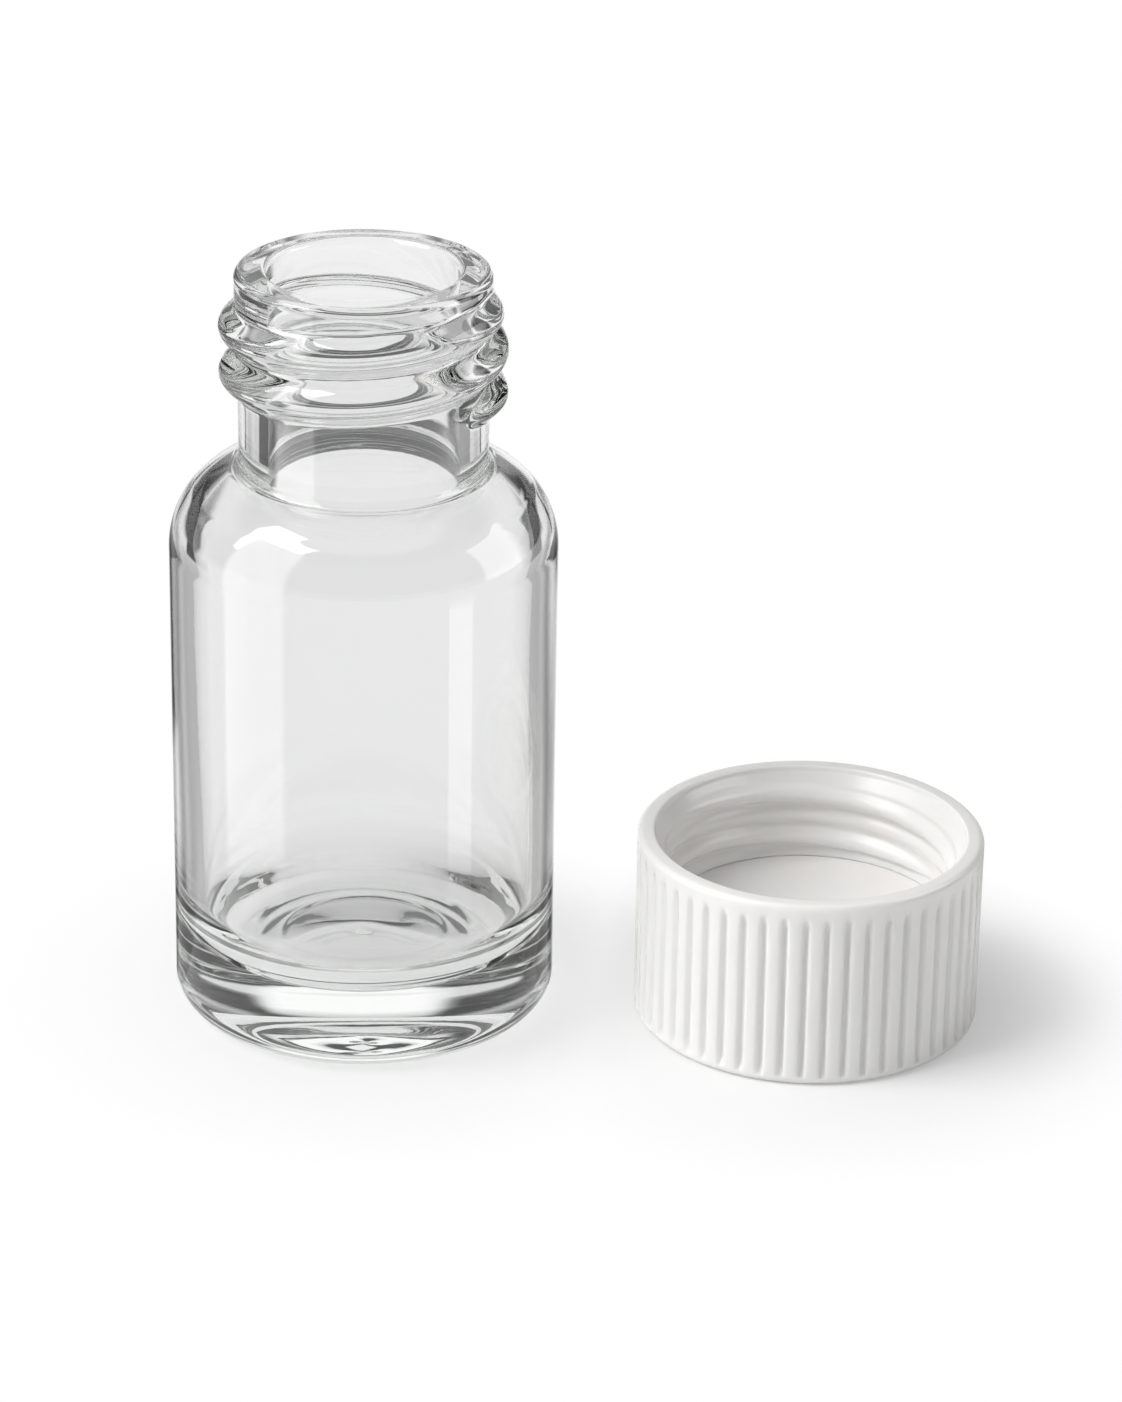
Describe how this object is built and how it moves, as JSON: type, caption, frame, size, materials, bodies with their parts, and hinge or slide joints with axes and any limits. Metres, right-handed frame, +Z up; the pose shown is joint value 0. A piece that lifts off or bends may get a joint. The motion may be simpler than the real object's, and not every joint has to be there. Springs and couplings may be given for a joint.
{
  "type": "glass sample vial",
  "caption": "Clear glass sample vial with a round shoulder, threaded neck and thick base, and its ribbed screw cap with a liner lying open beside it.",
  "frame": {"origin": "centre of the bearing ring under the vial, on the vial's axis", "axes": "+Z up along the vial's axis, out of its mouth; +X from the vial towards the cap"},
  "size_m": [0.0595, 0.0287, 0.0566],
  "materials": {
    "clear_glass": "clear, polished, moulded",
    "cap_plastic": "white, satin gloss, moulded",
    "liner": "matt, warm off-white"
  },
  "bodies": {
    "root": {"glass_vial": "clear_glass", "screw_cap": "cap_plastic", "cap_liner": "liner"}
  },
  "joints": []
}
